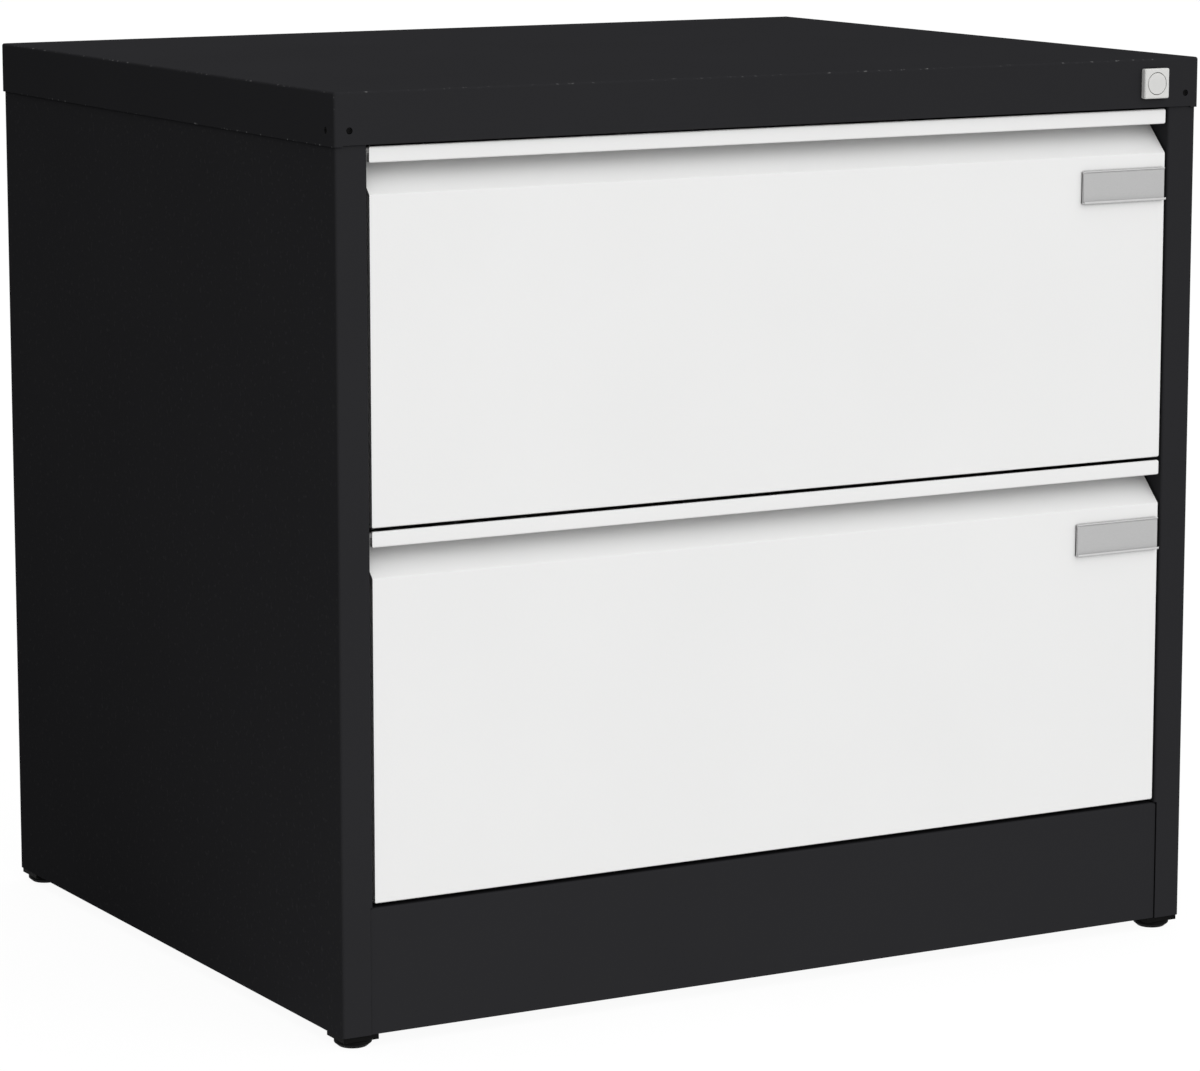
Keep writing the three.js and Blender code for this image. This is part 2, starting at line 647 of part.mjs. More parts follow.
function drawerTray() {
  const hem = TRAY_X - HEM_WIDTH;
  const right = [[hem, TRAY_TOP - HEM_DROP], [hem, TRAY_TOP], [TRAY_X, TRAY_TOP], [TRAY_X, TRAY_BOTTOM]];
  const trough = pull(folded([...right, ...onSide(SIDES.left, right)]), 'y', TRAY_FRONT, TRAY_BACK);
  const wallX = TRAY_X - SHEET / 2;
  const wallZ = TRAY_BOTTOM + SHEET / 2;
  const corner = 2 * SHEET;
  const lowEdge = [[wallX, wallZ + corner], [wallX - corner, wallZ]];
  const wall = pull([
    [-wallX, TRAY_TOP],
    [wallX, TRAY_TOP],
    ...lowEdge,
    ...onSide(SIDES.left, lowEdge),
  ], 'y', TRAY_BACK - SHEET, TRAY_BACK);
  const catchFront = BAR_FRONT + BAR_THICKNESS + CATCH_PLAY;
  const catches = Object.values(SIDES).map((side) => block(
    spanOn(side, TRAY_X - SHEET / 2, TRAY_X + CATCH_REACH),
    [catchFront, catchFront + CATCH_THICKNESS],
    [CATCH_Z, CATCH_Z + HOOK_HEIGHT],
  ));
  return join(trough, wall, ...catches);
}

function centreFileRail() {
  const half = CENTRE_RAIL_WIDTH / 2;
  const bottom = TRAY_TOP - CENTRE_RAIL_HEIGHT;
  const front = TRAY_FRONT;
  const back = TRAY_BACK - SHEET - AIR;
  const path = [[half, TRAY_TOP], [half, bottom], [-half, bottom], [-half, TRAY_TOP]];
  const foot = half + CENTRE_RAIL_FOOT;
  const endPlate = (y) => block([-foot, foot], [y, y + SHEET], [bottom - CENTRE_RAIL_FOOT, TRAY_TOP]);
  return join(pull(folded(path), 'y', front, back), endPlate(front), endPlate(back - SHEET));
}

function cardHolder() {
  const z0 = HOLDER_TOP - HOLDER_HEIGHT;
  const at = (depth, z) => [FACE_Y - depth, z];
  const outline = [
    at(0, z0),
    at(HOLDER_BOTTOM_LIP, z0),
    at(HOLDER_BOTTOM_LIP, z0 + HOLDER_BOTTOM_RISE),
    at(HOLDER_BOTTOM_LIP - HOLDER_WALL, z0 + HOLDER_BOTTOM_RISE),
    at(HOLDER_BOTTOM_LIP - HOLDER_WALL, z0 + HOLDER_WALL),
    at(HOLDER_PLATE, z0 + HOLDER_WALL),
    at(HOLDER_PLATE, HOLDER_TOP - HOLDER_WALL),
    at(HOLDER_TOP_LIP - HOLDER_TOP_EDGE, HOLDER_TOP - HOLDER_WALL),
    at(HOLDER_TOP_LIP - HOLDER_TOP_EDGE, HOLDER_TOP - HOLDER_TOP_DROP),
    at(HOLDER_TOP_LIP, HOLDER_TOP - HOLDER_TOP_DROP),
    at(HOLDER_TOP_LIP, HOLDER_TOP),
    at(0, HOLDER_TOP),
  ];
  return pull(outline, 'x', HOLDER_RIGHT - HOLDER_LENGTH, HOLDER_RIGHT);
}

function labelCard() {
  const back = FACE_Y - HOLDER_PLATE - AIR;
  return block(
    [HOLDER_RIGHT - HOLDER_LENGTH + CARD_IN, HOLDER_RIGHT - CARD_IN],
    [back - CARD_THICKNESS, back],
    [HOLDER_TOP - HOLDER_HEIGHT + HOLDER_WALL + AIR, HOLDER_TOP - HOLDER_WALL - AIR],
  );
}

function carcass() {
  const group = new THREE.Group();
  add(group, 'top_cap', topCap(), FINISH.black);
  for (const [where, side] of Object.entries(SIDES)) {
    add(group, `${where}_side_panel`, sidePanel(side), FINISH.black);
    add(group, `${where}_rear_upright`, rearUpright(side), FINISH.black);
  }
  add(group, 'back_panel', backPanel(), FINISH.black);
  add(group, 'base_pan', basePan(), FINISH.black);
  add(group, 'plinth_panel', plinth(), FINISH.black);
  add(group, 'front_top_rail', frontTopRail(), FINISH.black);
  for (const [where, x, y] of footPlaces()) {
    add(group, `${where}_foot_block`, footBlock(x, y), FINISH.foot);
    add(group, `${where}_levelling_foot`, levellingFoot(x, y), FINISH.foot);
  }
  return group;
}

function lockWork() {
  const group = new THREE.Group();
  add(group, 'lock_housing', lockHousing(), FINISH.grey);
  add(group, 'lock_nut', lockNut(), FINISH.zinc);
  add(group, 'lock_barrel', lockBarrel(), FINISH.grey);
  add(group, 'lock_cam', lockCam(), FINISH.zinc);
  add(group, 'lock_bar', lockBar(), FINISH.zinc);
  add(group, 'interlock_bar', hookedBar(SIDES.left, GUIDES.upper + 2 * GUIDE_HEIGHT), FINISH.zinc);
  for (const [level, bottom] of Object.entries(GUIDES)) {
    add(group, `lock_bar_${level}_guide`, barGuide(SIDES.right, bottom), FINISH.foot);
    add(group, `interlock_bar_${level}_guide`, barGuide(SIDES.left, bottom), FINISH.foot);
  }
  return group;
}

function drawer(level, bottom) {
  const group = new THREE.Group();
  group.position.z = bottom;
  add(group, `${level}_drawer_front`, drawerFront(), FINISH.white);
  add(group, `${level}_drawer_liner`, drawerLiner(), FINISH.white);
  add(group, `${level}_drawer_tray`, drawerTray(), FINISH.white);
  add(group, `${level}_centre_file_rail`, centreFileRail(), FINISH.white);
  add(group, `${level}_card_holder`, cardHolder(), FINISH.holder);
  add(group, `${level}_label_card`, labelCard(), FINISH.card);
  for (const [where, side] of Object.entries(SIDES)) {
    for (const [member, section] of Object.entries(MEMBERS)) {
      add(group, `${level}_${where}_slide_${member}`, slideMember(section, side), FINISH.zinc);
    }
    for (const [cage, section] of Object.entries(CAGES)) {
      add(group, `${level}_${where}_${cage}_ball_cage`, ballCage(section, side), FINISH.zinc);
    }
  }
  return group;
}

const cabinet = new THREE.Group();
cabinet.name = 'lateral_filing_cabinet';
cabinet.add(carcass(), lockWork());
for (const [level, bottom] of Object.entries(DRAWERS)) cabinet.add(drawer(level, bottom));

export default cabinet;
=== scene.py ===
"""Looks of the wide two-drawer filing cabinet: finishes, finer pieces, light and camera.

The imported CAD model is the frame. Its nodes stay where they are and get their finishes here. The
card holders, the lock, the levelling feet and the ball cages are built finer and stand for their
nodes, and small fasteners are added. Metres, +Z up, the front faces -Y.
"""

import json
import math

import bmesh
import bpy
from mathutils import Matrix, Vector


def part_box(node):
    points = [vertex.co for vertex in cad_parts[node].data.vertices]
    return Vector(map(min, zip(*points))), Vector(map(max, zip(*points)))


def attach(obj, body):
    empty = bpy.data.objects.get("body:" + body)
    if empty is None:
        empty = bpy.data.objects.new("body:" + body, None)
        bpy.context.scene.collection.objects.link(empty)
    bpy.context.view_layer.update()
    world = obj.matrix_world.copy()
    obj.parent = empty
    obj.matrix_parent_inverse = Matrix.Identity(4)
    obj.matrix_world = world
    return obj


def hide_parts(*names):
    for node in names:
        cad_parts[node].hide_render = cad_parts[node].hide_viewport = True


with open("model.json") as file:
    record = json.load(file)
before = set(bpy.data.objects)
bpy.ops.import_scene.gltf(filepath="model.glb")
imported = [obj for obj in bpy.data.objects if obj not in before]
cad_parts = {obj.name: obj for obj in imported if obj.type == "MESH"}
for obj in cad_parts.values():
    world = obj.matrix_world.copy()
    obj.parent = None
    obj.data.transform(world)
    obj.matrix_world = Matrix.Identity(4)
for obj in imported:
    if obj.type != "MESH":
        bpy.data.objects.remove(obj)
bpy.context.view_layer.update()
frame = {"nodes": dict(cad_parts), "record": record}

MM = 0.001
LEVELS = ("lower", "upper")
SIDES = {"left": -1, "right": 1}
RECORD = frame["record"]
SLOT_OF = {part["node"]: part["material_slot"] for part in RECORD["subparts"]}

# Camera at the photograph's viewpoint
CAMERA_PLACE = (-1.8741, -3.3406, 0.9646)
CAMERA_AZIMUTH = math.radians(29.448)
CAMERA_PITCH = math.radians(9.683)
CAMERA_SENSOR = 36.0
CAMERA_LENS = 141.12

# Light; a surface that gets 1 in all shows its colour as it is written
KEY_LEVEL = 0.08
KEY_FROM = (0.26, -0.82, 0.515)
KEY_SPREAD = math.radians(60)
ROOM_LEVEL = 0.33  # soft light from all round
ROOM_RIGHT = 0.38  # more of it from the right, and as much less from the left
ROOM_BACK = 0.6  # more of it from behind, and as much less from the front
ROOM_FRONT = 2.21  # more of it straight from the front
ROOM_TOP = 0.74  # more of it from straight above
FLOOR_SIZE = 60.0
FLOOR_DIM = 0.06  # what the floor gives back behind the object and beside it
FLOOR_DIM_Y = 0.1
FLOOR_BRIGHT = 0.65  # what it gives back in front of it
FLOOR_BRIGHT_Y = -0.4
FLOOR_GLOW = 0.94  # the floor's even white in the picture
FLOOR_SHADOW = 0.08  # the part of it that a shadow takes away

# Softened edges and round forms
EDGE_RADIUS = 0.25 * MM  # of the CAD nodes
CRISP = 0.1 * MM  # of the finer pieces
FINE = 0.05 * MM  # of threads and screws
EDGE_STEPS = 2
EDGE_ANGLE = math.radians(40)
FLAT_FACE_WEIGHT = 100  # lets large faces shade flat beside their softened edges
WELD_REACH = 0.01 * MM
FLAT_ANGLE = math.radians(0.5)
ROUND = 48  # points round a circle
CORNER_STEPS = 5

# Noises, in waves per metre
NOISE_LOW = 0.3  # most of a noise lies between these two
NOISE_HIGH = 0.7

# Powder paint with painted shade in its joints and hollows, and pale edge specks that are painted
# highlights and wear
PAINT_CLOUDS = 7.0
PAINT_PEEL = 700.0
PAINT_PEEL_DEPTH = 0.03 * MM
PAINT_GRAIN = 3500.0
PAINT_GRAIN_DEPTH = 0.006 * MM
PAINT_GRAIN_SHARE = 0.35
OPENNESS_SAMPLES = 8
JOINT_SHADE_REACH = 4.0 * MM  # joints narrower than this get painted shade
JOINT_SHADE_OPENNESS = (0.25, 0.75)  # from full painted shade to none
HOLLOW_SHADE_REACH = 32.0 * MM  # hollows narrower than this get painted shade
# Pale specks on the cap's edges: painted highlights that stand in for edge glints, and edge wear
GLINT_AND_WEAR_WIDTH = 1.3 * MM
GLINT_AND_WEAR_LEVEL = 0.2
GLINT_AND_WEAR_SPECKS = 260.0
GLINT_AND_WEAR_NOISE = (0.6, 0.68)  # from bare to a full pale speck

# Zinc plate
ZINC_SPANGLE = 130.0
ZINC_STREAKS = (900.0, 14.0, 900.0)
ZINC_STREAK_DEPTH = 0.008 * MM
ZINC_STAINS = 22.0
ZINC_STAIN_SHARE = 0.5
ZINC_STAIN_NOISE = (0.5, 0.75)

# Moulded pieces, extruded strips and card
MOULD_CLOUDS = 60.0
MOULD_EROSION = 2600.0
STRIP_CLOUDS = 45.0
STRIP_LINES = (6.0, 2400.0, 2400.0)
STRIP_LINE_DEPTH = 0.006 * MM
CARD_FIBRES = (700.0, 2500.0, 2500.0)
CARD_FIBRE_DEPTH = 0.015 * MM
CARD_FLECKS = 900.0
CARD_FLECK_SHARE = 0.4
CARD_FLECK_NOISE = (0.6, 0.75)

# Card holders: a thin plate that stands off the drawer, with a lip on top and a shallow trough below
HOLDER_PLATE = 1.6 * MM
HOLDER_WALL = 0.6 * MM
HOLDER_SEAT = 1.2 * MM  # end of the plate to the edge of the card
HOLDER_LIP = 2.7 * MM
HOLDER_TROUGH_RISE = 1.9 * MM
HOLDER_TROUGH_BEND = 1.0 * MM
HOLDER_TROUGH_BED = 0.4 * MM
HOLDER_TROUGH_RIM = 0.28 * MM
HOLDER_LIP_RIM = 0.2 * MM
HOLDER_END_GAP = 0.3 * MM  # end of the card to the end of its holder

# Lock: a square case with a round plug, which a narrow groove parts from it
LOCK_BEVEL = 0.8 * MM
LOCK_CORNER = 1.2 * MM
LOCK_GROOVE = 17.4 * MM
LOCK_GROOVE_WIDTH = 0.6 * MM
LOCK_GROOVE_DEPTH = 2.4 * MM
LOCK_BORE_GAP = 0.4 * MM
LOCK_SHANK_WALL = 1.3 * MM
LOCK_POINTS = 192

# Levelling feet, M8
FOOT_SOLE = 11.0 * MM
FOOT_STEM = 4.0 * MM
FOOT_FILLET = 0.5 * MM
FOOT_GAP = 0.3 * MM  # disc to the block above it
THREAD_PITCH = 1.25 * MM
THREAD_DEPTH = 0.6 * MM
THREAD_STEPS = 6

# Ball cages of the slides
CAGE_SHEET = 0.7 * MM
CAGE_BEND = 1.4 * MM
CAGE_BALLS = 8
CAGE_BALL = {"outer": 1.8 * MM, "inner": 1.9 * MM}  # radius
CAGE_BALL_IN = {"outer": 3.95 * MM, "inner": 3.55 * MM}  # outer face of the web to a ball's middle
CAGE_BALL_SUBDIVISIONS = 3

# Fasteners
CAP_HOLE_DOWN = 28.1 * MM
CAP_HOLE_IN_X = 12.3 * MM
CAP_HOLE_IN_Y = 13.9 * MM
CAP_SCREW = 2.2 * MM
CAP_SCREW_SUNK = 0.4 * MM
SCREW_SIDE = 0.6  # share of the head's height that its straight side takes
SCREW_CROWN = 0.4 * MM  # width of the round between the head's side and its top
SCREW_SHOULDER = (0.3, 0.88)  # middle of that round: shares of its width and of the head's height
SOCKET = 1.5 * MM
SOCKET_DEPTH = 0.7 * MM
RIVET = 2.6 * MM
RIVET_RISE = 1.1 * MM
RIVET_IN = 9.0 * MM
RIVETS = 5
RIVET_STEPS = 5
RIVET_MARGIN = 60.0 * MM


class Graph:
    """Makes and links the nodes of a node tree."""

    def __init__(self, tree):
        self.tree = tree

    def connect(self, value, socket):
        if isinstance(value, bpy.types.NodeSocket):
            self.tree.links.new(value, socket)
        else:
            socket.default_value = value

    def node(self, kind, inputs=None, **settings):
        node = self.tree.nodes.new("ShaderNode" + kind)
        for name, value in settings.items():
            setattr(node, name, value)
        for socket, value in (inputs or {}).items():
            self.connect(value, node.inputs[socket])
        return node

    def combine(self, kind, operation, *values):
        node = self.node(kind, operation=operation)
        for socket, value in zip(node.inputs, values):
            self.connect(value, socket)
        return node.outputs[0]

    def span(self, value, low, high, start=NOISE_LOW, end=NOISE_HIGH, **settings):
        """Turns what runs from start to end into what runs from low to high."""
        inputs = {"Value": value, "From Min": start, "From Max": end, "To Min": low, "To Max": high}
        return self.node("MapRange", inputs, **settings).outputs["Result"]

    def backdrop(self, given, shown):
        """What the object gets from a shader, and what the picture and reflections show instead."""
        rays = self.node("LightPath").outputs
        seen = self.combine("Math", "MAXIMUM", rays["Is Camera Ray"], rays["Is Glossy Ray"])
        seen = self.combine("Math", "MAXIMUM", seen, rays["Is Transmission Ray"])
        either = self.node("MixShader", {0: seen, 1: given.outputs[0], 2: shown.outputs[0]})
        return either.outputs["Shader"]


class Finish(Graph):
    """A material's node graph round one Principled surface."""

    def __init__(self, name, constants):
        self.material = bpy.data.materials.new(name)
        self.material.use_nodes = True
        super().__init__(self.material.node_tree)
        self.surface = self.tree.nodes["Principled BSDF"]
        for socket, value in constants.items():
            self.surface.inputs[socket].default_value = value
        self.place = self.node("TexCoord").outputs["Object"]

    def feed(self, socket, value):
        self.connect(value, self.surface.inputs[socket])

    def noise(self, waves, detail=2.0, place=None):
        inputs = {"Vector": place or self.place, "Scale": waves, "Detail": detail}
        return self.node("TexNoise", inputs).outputs["Fac"]

    def streaks(self, waves, detail):
        """Noise with its own number of waves along each axis."""
        place = self.node("Mapping", {"Vector": self.place, "Scale": waves}).outputs["Vector"]
        return self.noise(1.0, detail, place)

    def mix(self, factor, first, second):
        node = self.node("Mix", data_type="RGBA")
        sockets = {socket.identifier: socket for socket in (*node.inputs, *node.outputs)}
        self.connect(factor, sockets["Factor_Float"])
        self.connect(first, sockets["A_Color"])
        self.connect(second, sockets["B_Color"])
        return sockets["Result_Color"]

    def bump(self, height, depth, under=None):
        inputs = {"Height": height, "Strength": 1.0, "Distance": depth}
        if under:
            inputs["Normal"] = under
        return self.node("Bump", inputs).outputs["Normal"]

    def openness(self, reach):
        """1 on an open face, less in a joint or hollow that is narrower than the reach."""
        node = self.node("AmbientOcclusion", {"Distance": reach}, samples=OPENNESS_SAMPLES)
        return node.outputs["AO"]

    def edges(self, low, high, width):
        """1 on the edges of a box, which two faces share, and 0 further from them than the width."""
        away = self.combine("VectorMath", "SUBTRACT", self.place, (low + high) / 2)
        away = self.combine("VectorMath", "ABSOLUTE", away)
        inside = self.combine("VectorMath", "SUBTRACT", (high - low) / 2, away)
        x, y, z = self.node("SeparateXYZ", {"Vector": inside}).outputs
        nearer = self.combine("Math", "MINIMUM", x, y)
        farther = self.combine("Math", "MAXIMUM", x, y)
        second = self.combine("Math", "MAXIMUM", nearer, self.combine("Math", "MINIMUM", farther, z))
        return self.span(second, 1.0, 0.0, 0.0, width)


def grey(level, warmth=0.0):
    """An RGBA grey; a warmth above 0 takes a little blue out, below 0 adds it."""
    return (level, level, level * (1 - warmth), 1.0)


def powder_coat(name, shades, gloss, rough, painted_shade, hollow_shade=0.0, glint_and_wear_node=None):
    """Baked powder paint: cloudy colour, orange peel, a fine grain and painted shade in narrow
    joints.

    In wider hollows up to a given share of its colour gives way to the painted shade. The
    edges of a named node have pale specks: painted highlights, and wear.
    """
    finish = Finish(name, {"Specular IOR Level": gloss})
    clouds = finish.noise(PAINT_CLOUDS, detail=4.0)
    peel = finish.noise(PAINT_PEEL, detail=1.0)
    grain = finish.noise(PAINT_GRAIN)
    coat = finish.mix(finish.span(clouds, 0.0, 1.0), *shades)
    coat = finish.mix(finish.span(grain, 0.0, PAINT_GRAIN_SHARE), coat, shades[0])
    # pale specks along the named node's edges: painted highlights, and wear
    if glint_and_wear_node:
        specks = finish.span(finish.noise(GLINT_AND_WEAR_SPECKS, detail=3.0), 0.0, 1.0, *GLINT_AND_WEAR_NOISE)
        edges = finish.edges(*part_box(glint_and_wear_node), GLINT_AND_WEAR_WIDTH)
        glint_and_wear_mask = finish.combine("Math", "MULTIPLY", specks, edges)
        coat = finish.mix(glint_and_wear_mask, coat, grey(GLINT_AND_WEAR_LEVEL))
    # painted shade: the coat darkens towards the shade colour in joints narrower than the joint
    # reach
    unshaded = finish.span(finish.openness(JOINT_SHADE_REACH), 0.0, 1.0, *JOINT_SHADE_OPENNESS)
    coat = finish.mix(unshaded, painted_shade, coat)
    # painted shade in wider hollows, such as the handle recesses, up to the share given
    if hollow_shade:
        hollow = finish.span(finish.openness(HOLLOW_SHADE_REACH), hollow_shade, 0.0, 0.0, 1.0)
        coat = finish.mix(hollow, coat, painted_shade)
    finish.feed("Base Color", coat)
    finish.feed("Roughness", finish.span(clouds, *rough))
    peeled = finish.bump(peel, PAINT_PEEL_DEPTH)
    finish.feed("Normal", finish.bump(grain, PAINT_GRAIN_DEPTH, peeled))
    return finish.material


def zinc_plate(name, shades, stain, rough):
    """Rolled and zinc plated steel: faint spangle, streaks along the length and a soft shine."""
    finish = Finish(name, {"Metallic": 1.0})
    spangle = finish.node("TexVoronoi", {"Vector": finish.place, "Scale": ZINC_SPANGLE})
    streaks = finish.streaks(ZINC_STREAKS, detail=4.0)
    stains = finish.noise(ZINC_STAINS, detail=5.0)
    stained = finish.span(stains, 0.0, ZINC_STAIN_SHARE, *ZINC_STAIN_NOISE)
    plate = finish.mix(spangle.outputs["Color"], *shades)
    finish.feed("Base Color", finish.mix(stained, plate, stain))
    finish.feed("Roughness", finish.span(streaks, *rough))
    finish.feed("Normal", finish.bump(streaks, ZINC_STREAK_DEPTH))
    return finish.material


def moulded(name, shades, gloss, rough, pebble):
    """Moulded surface with a fine eroded texture and slight clouds in its colour."""
    finish = Finish(name, {"Specular IOR Level": gloss})
    clouds = finish.noise(MOULD_CLOUDS, detail=3.0)
    erosion = finish.noise(MOULD_EROSION, detail=3.0)
    finish.feed("Base Color", finish.mix(finish.span(clouds, 0.0, 1.0), *shades))
    finish.feed("Roughness", finish.span(erosion, *rough))
    finish.feed("Normal", finish.bump(erosion, pebble))
    return finish.material


def extruded(name, shades, gloss, rough):
    """Extruded strip: fine die lines along X and slight clouds in its colour."""
    finish = Finish(name, {"Specular IOR Level": gloss})
    lines = finish.streaks(STRIP_LINES, detail=3.0)
    clouds = finish.noise(STRIP_CLOUDS)
    finish.feed("Base Color", finish.mix(finish.span(clouds, 0.0, 1.0), *shades))
    finish.feed("Roughness", finish.span(lines, *rough))
    finish.feed("Normal", finish.bump(lines, STRIP_LINE_DEPTH))
    return finish.material


def card_stock(name, shades, gloss, rough):
    """Uncoated card: long fibres in the paper, a few flecks and a dry, even face."""
    finish = Finish(name, {"Specular IOR Level": gloss})
    fibres = finish.streaks(CARD_FIBRES, detail=5.0)
    flecks = finish.noise(CARD_FLECKS, detail=4.0)
    flecked = finish.span(flecks, 0.0, CARD_FLECK_SHARE, *CARD_FLECK_NOISE)
    paper = finish.mix(finish.span(fibres, 0.0, 1.0), *shades)
    finish.feed("Base Color", finish.mix(flecked, paper, shades[0]))
    finish.feed("Roughness", finish.span(fibres, *rough))
    finish.feed("Normal", finish.bump(fibres, CARD_FIBRE_DEPTH))
    return finish.material


FINISHES = {
    # carcass_black: near-black painted shade in its joints, and pale specks on the cap's edges that
    # are painted highlights and wear
    "carcass_black": powder_coat(
        "carcass_black", shades=(grey(0.0231, -0.08), grey(0.0243, -0.08)), gloss=0.0,
        rough=(0.5, 0.62), painted_shade=grey(0.002), glint_and_wear_node="top_cap"),
    # drawer_white: dark painted shade in its joints and in the handle recesses
    "drawer_white": powder_coat(
        "drawer_white", shades=(grey(0.82, 0.004), grey(0.835, 0.004)), gloss=0.25,
        rough=(0.42, 0.54), painted_shade=grey(0.02), hollow_shade=0.28),
    "zinc_steel": zinc_plate(
        "zinc_steel", shades=(grey(0.5, -0.04), grey(0.62, -0.03)), stain=grey(0.43, 0.06),
        rough=(0.26, 0.46)),
    "lock_grey": moulded(
        "lock_grey", shades=(grey(0.64, 0.02), grey(0.69, 0.02)), gloss=0.3,
        rough=(0.4, 0.55), pebble=0.008 * MM),
    "holder_grey": extruded(
        "holder_grey", shades=(grey(0.58), grey(0.62)), gloss=0.25, rough=(0.42, 0.6)),
    "label_card": card_stock(
        "label_card", shades=(grey(0.47), grey(0.5)), gloss=0.15, rough=(0.78, 0.95)),
    "foot_black": moulded(
        "foot_black", shades=(grey(0.004), grey(0.0065)), gloss=0.03,
        rough=(0.5, 0.7), pebble=0.012 * MM),
}


def flatten(obj):
    """Joins a CAD node's triangles into flat faces."""
    obj.modifiers.new("weld", "WELD").merge_threshold = WELD_REACH
    flats = obj.modifiers.new("flats", "DECIMATE")
    flats.decimate_type = "DISSOLVE"
    flats.angle_limit = FLAT_ANGLE


def soften(obj, radius=EDGE_RADIUS):
    """Rounds an object's sharp edges a little and evens its shading."""
    obj.data.shade_smooth()
    edges = obj.modifiers.new("edges", "BEVEL")
    edges.width = radius
    edges.segments = EDGE_STEPS
    edges.limit_method = "ANGLE"
    edges.angle_limit = EDGE_ANGLE
    normals = obj.modifiers.new("normals", "WEIGHTED_NORMAL")
    normals.weight = FLAT_FACE_WEIGHT


def piece(name, mesh, slot, body, *stands_for):
    """Makes a finished piece that rides on a body and stands for the CAD nodes named."""
    data = bpy.data.meshes.new(name)
    bmesh.ops.recalc_face_normals(mesh, faces=mesh.faces)
    mesh.to_mesh(data)
    mesh.free()
    obj = bpy.data.objects.new(name, data)
    bpy.context.scene.collection.objects.link(obj)
    data.materials.append(FINISHES[slot])
    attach(obj, body)
    if stands_for:
        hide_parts(*stands_for)
    return obj


def skin(mesh, rings, joined=False):
    """Faces over rings of equally many points, capped at the ends or joined from last to first."""
    loops = [[mesh.verts.new(point) for point in ring] for ring in rings]
    pairs = list(zip(loops, loops[1:]))
    if joined:
        pairs.append((loops[-1], loops[0]))
    else:
        mesh.faces.new(loops[0])
        mesh.faces.new(loops[-1])
    for near, far in pairs:
        for i in range(len(near)):
            mesh.faces.new((near[i - 1], near[i], far[i], far[i - 1]))


def rounded(corners, steps=CORNER_STEPS):
    """Closed outline through corners given as (u, v, radius), each rounded by its radius."""
    outline = []
    for i, (u, v, radius) in enumerate(corners):
        corner = Vector((u, v))
        before = (Vector(corners[i - 1][:2]) - corner).normalized()
        after = (Vector(corners[(i + 1) % len(corners)][:2]) - corner).normalized()
        half = before.angle(after) / 2
        start = corner + before * radius / math.tan(half)
        centre = corner + (before + after).normalized() * radius / math.sin(half)
        turn = math.copysign(math.pi - 2 * half, after.cross(before))
        for k in range(steps + 1):
            outline.append(centre + Matrix.Rotation(turn * k / steps, 2) @ (start - centre))
    return outline


def circle(radius, count=ROUND):
    """Points round the origin of a plane."""
    angles = [2 * math.pi * i / count for i in range(count)]
    return [Vector((radius * math.cos(a), radius * math.sin(a))) for a in angles]


def facing_front(centre, outline, y):
    """Sets a flat outline upright in the plane at y, seen from the front."""
    return [Vector((centre.x + u, y, centre.z + v)) for u, v in outline]


def card_holder(level):
    """The bent strip on a drawer that holds its label card."""
    node = level + "_card_holder"
    low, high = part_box(node)
    card_low, card_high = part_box(level + "_label_card")
    ends = (card_low.x - HOLDER_END_GAP, card_high.x + HOLDER_END_GAP)
    depth = high.y - low.y
    height = high.z - low.z
    back = HOLDER_PLATE - HOLDER_WALL
    outline = rounded([
        (0, 0, CRISP),
        (depth, 0, HOLDER_TROUGH_BEND),
        (depth, HOLDER_TROUGH_RISE, HOLDER_TROUGH_RIM),
        (depth - HOLDER_WALL, HOLDER_TROUGH_RISE, HOLDER_TROUGH_RIM),
        (depth - HOLDER_WALL, HOLDER_WALL, HOLDER_TROUGH_BED),
        (HOLDER_PLATE, HOLDER_SEAT, CRISP),
        (HOLDER_PLATE, height - HOLDER_SEAT, CRISP),
        (HOLDER_LIP, height - HOLDER_WALL, HOLDER_LIP_RIM),
        (HOLDER_LIP, height, HOLDER_LIP_RIM),
        (0, height, CRISP),
        (0, height - HOLDER_WALL, CRISP),
        (back, height - HOLDER_SEAT, CRISP),
        (back, HOLDER_SEAT, CRISP),
        (0, HOLDER_WALL, CRISP),
    ])
    mesh = bmesh.new()
    skin(mesh, [[Vector((x, high.y - u, low.z + v)) for u, v in outline] for x in ends])
    soften(piece(level + "_card_rail", mesh, "holder_grey", level + "_drawer", node), CRISP)


def square(half, corner):
    """A square with round corners, as points at even angles round its middle."""
    flat = half - corner
    outline = []
    for point in circle(1.0, LOCK_POINTS):
        u, v = abs(point.x), abs(point.y)
        reach = half / max(u, v)
        if min(u, v) * reach > flat:
            along = flat * (u + v)
            reach = along + math.sqrt(along ** 2 - 2 * flat ** 2 + corner ** 2)
        outline.append(point * reach)
    return outline


